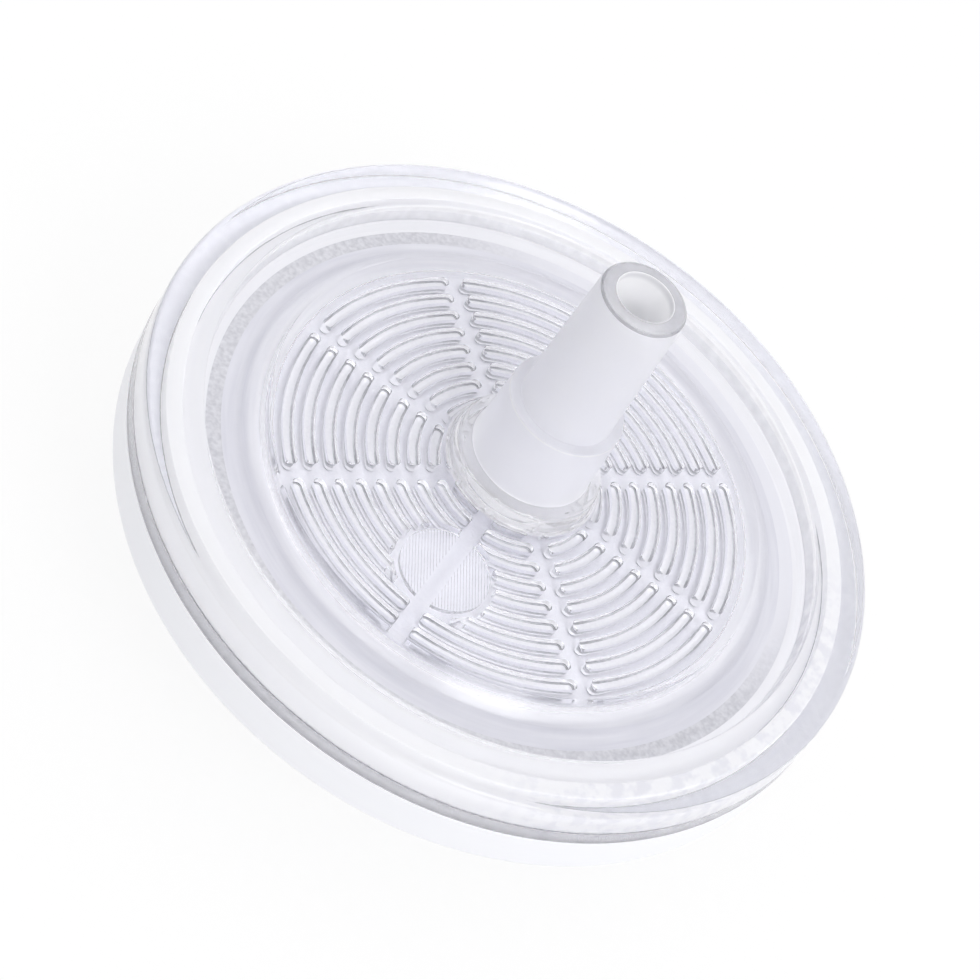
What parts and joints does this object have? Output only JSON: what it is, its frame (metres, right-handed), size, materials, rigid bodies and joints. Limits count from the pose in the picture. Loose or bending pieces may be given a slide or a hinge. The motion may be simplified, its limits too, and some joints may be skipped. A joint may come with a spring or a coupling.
{
  "type": "syringe filter",
  "caption": "Round translucent disc filter with a tapered outlet stem on top, a membrane on ridged support inside, and a tapered inlet socket with lock lugs below.",
  "frame": {"origin": "centre of the inlet's end face, on the common axis of stem, disc and socket", "axes": "+Z along the axis from the inlet socket to the outlet stem, -Y towards the side with the witness pad"},
  "size_m": [0.0352, 0.0352, 0.0236],
  "materials": {
    "clear_housing": "translucent moulded plastic, glossy plate and rim, frosted stem",
    "milky_housing": "translucent moulded plastic, smooth",
    "membrane": "matt white filter membrane"
  },
  "bodies": {
    "root": {"outlet_housing": "clear_housing", "membrane": "membrane", "inlet_housing": "milky_housing"}
  },
  "joints": []
}
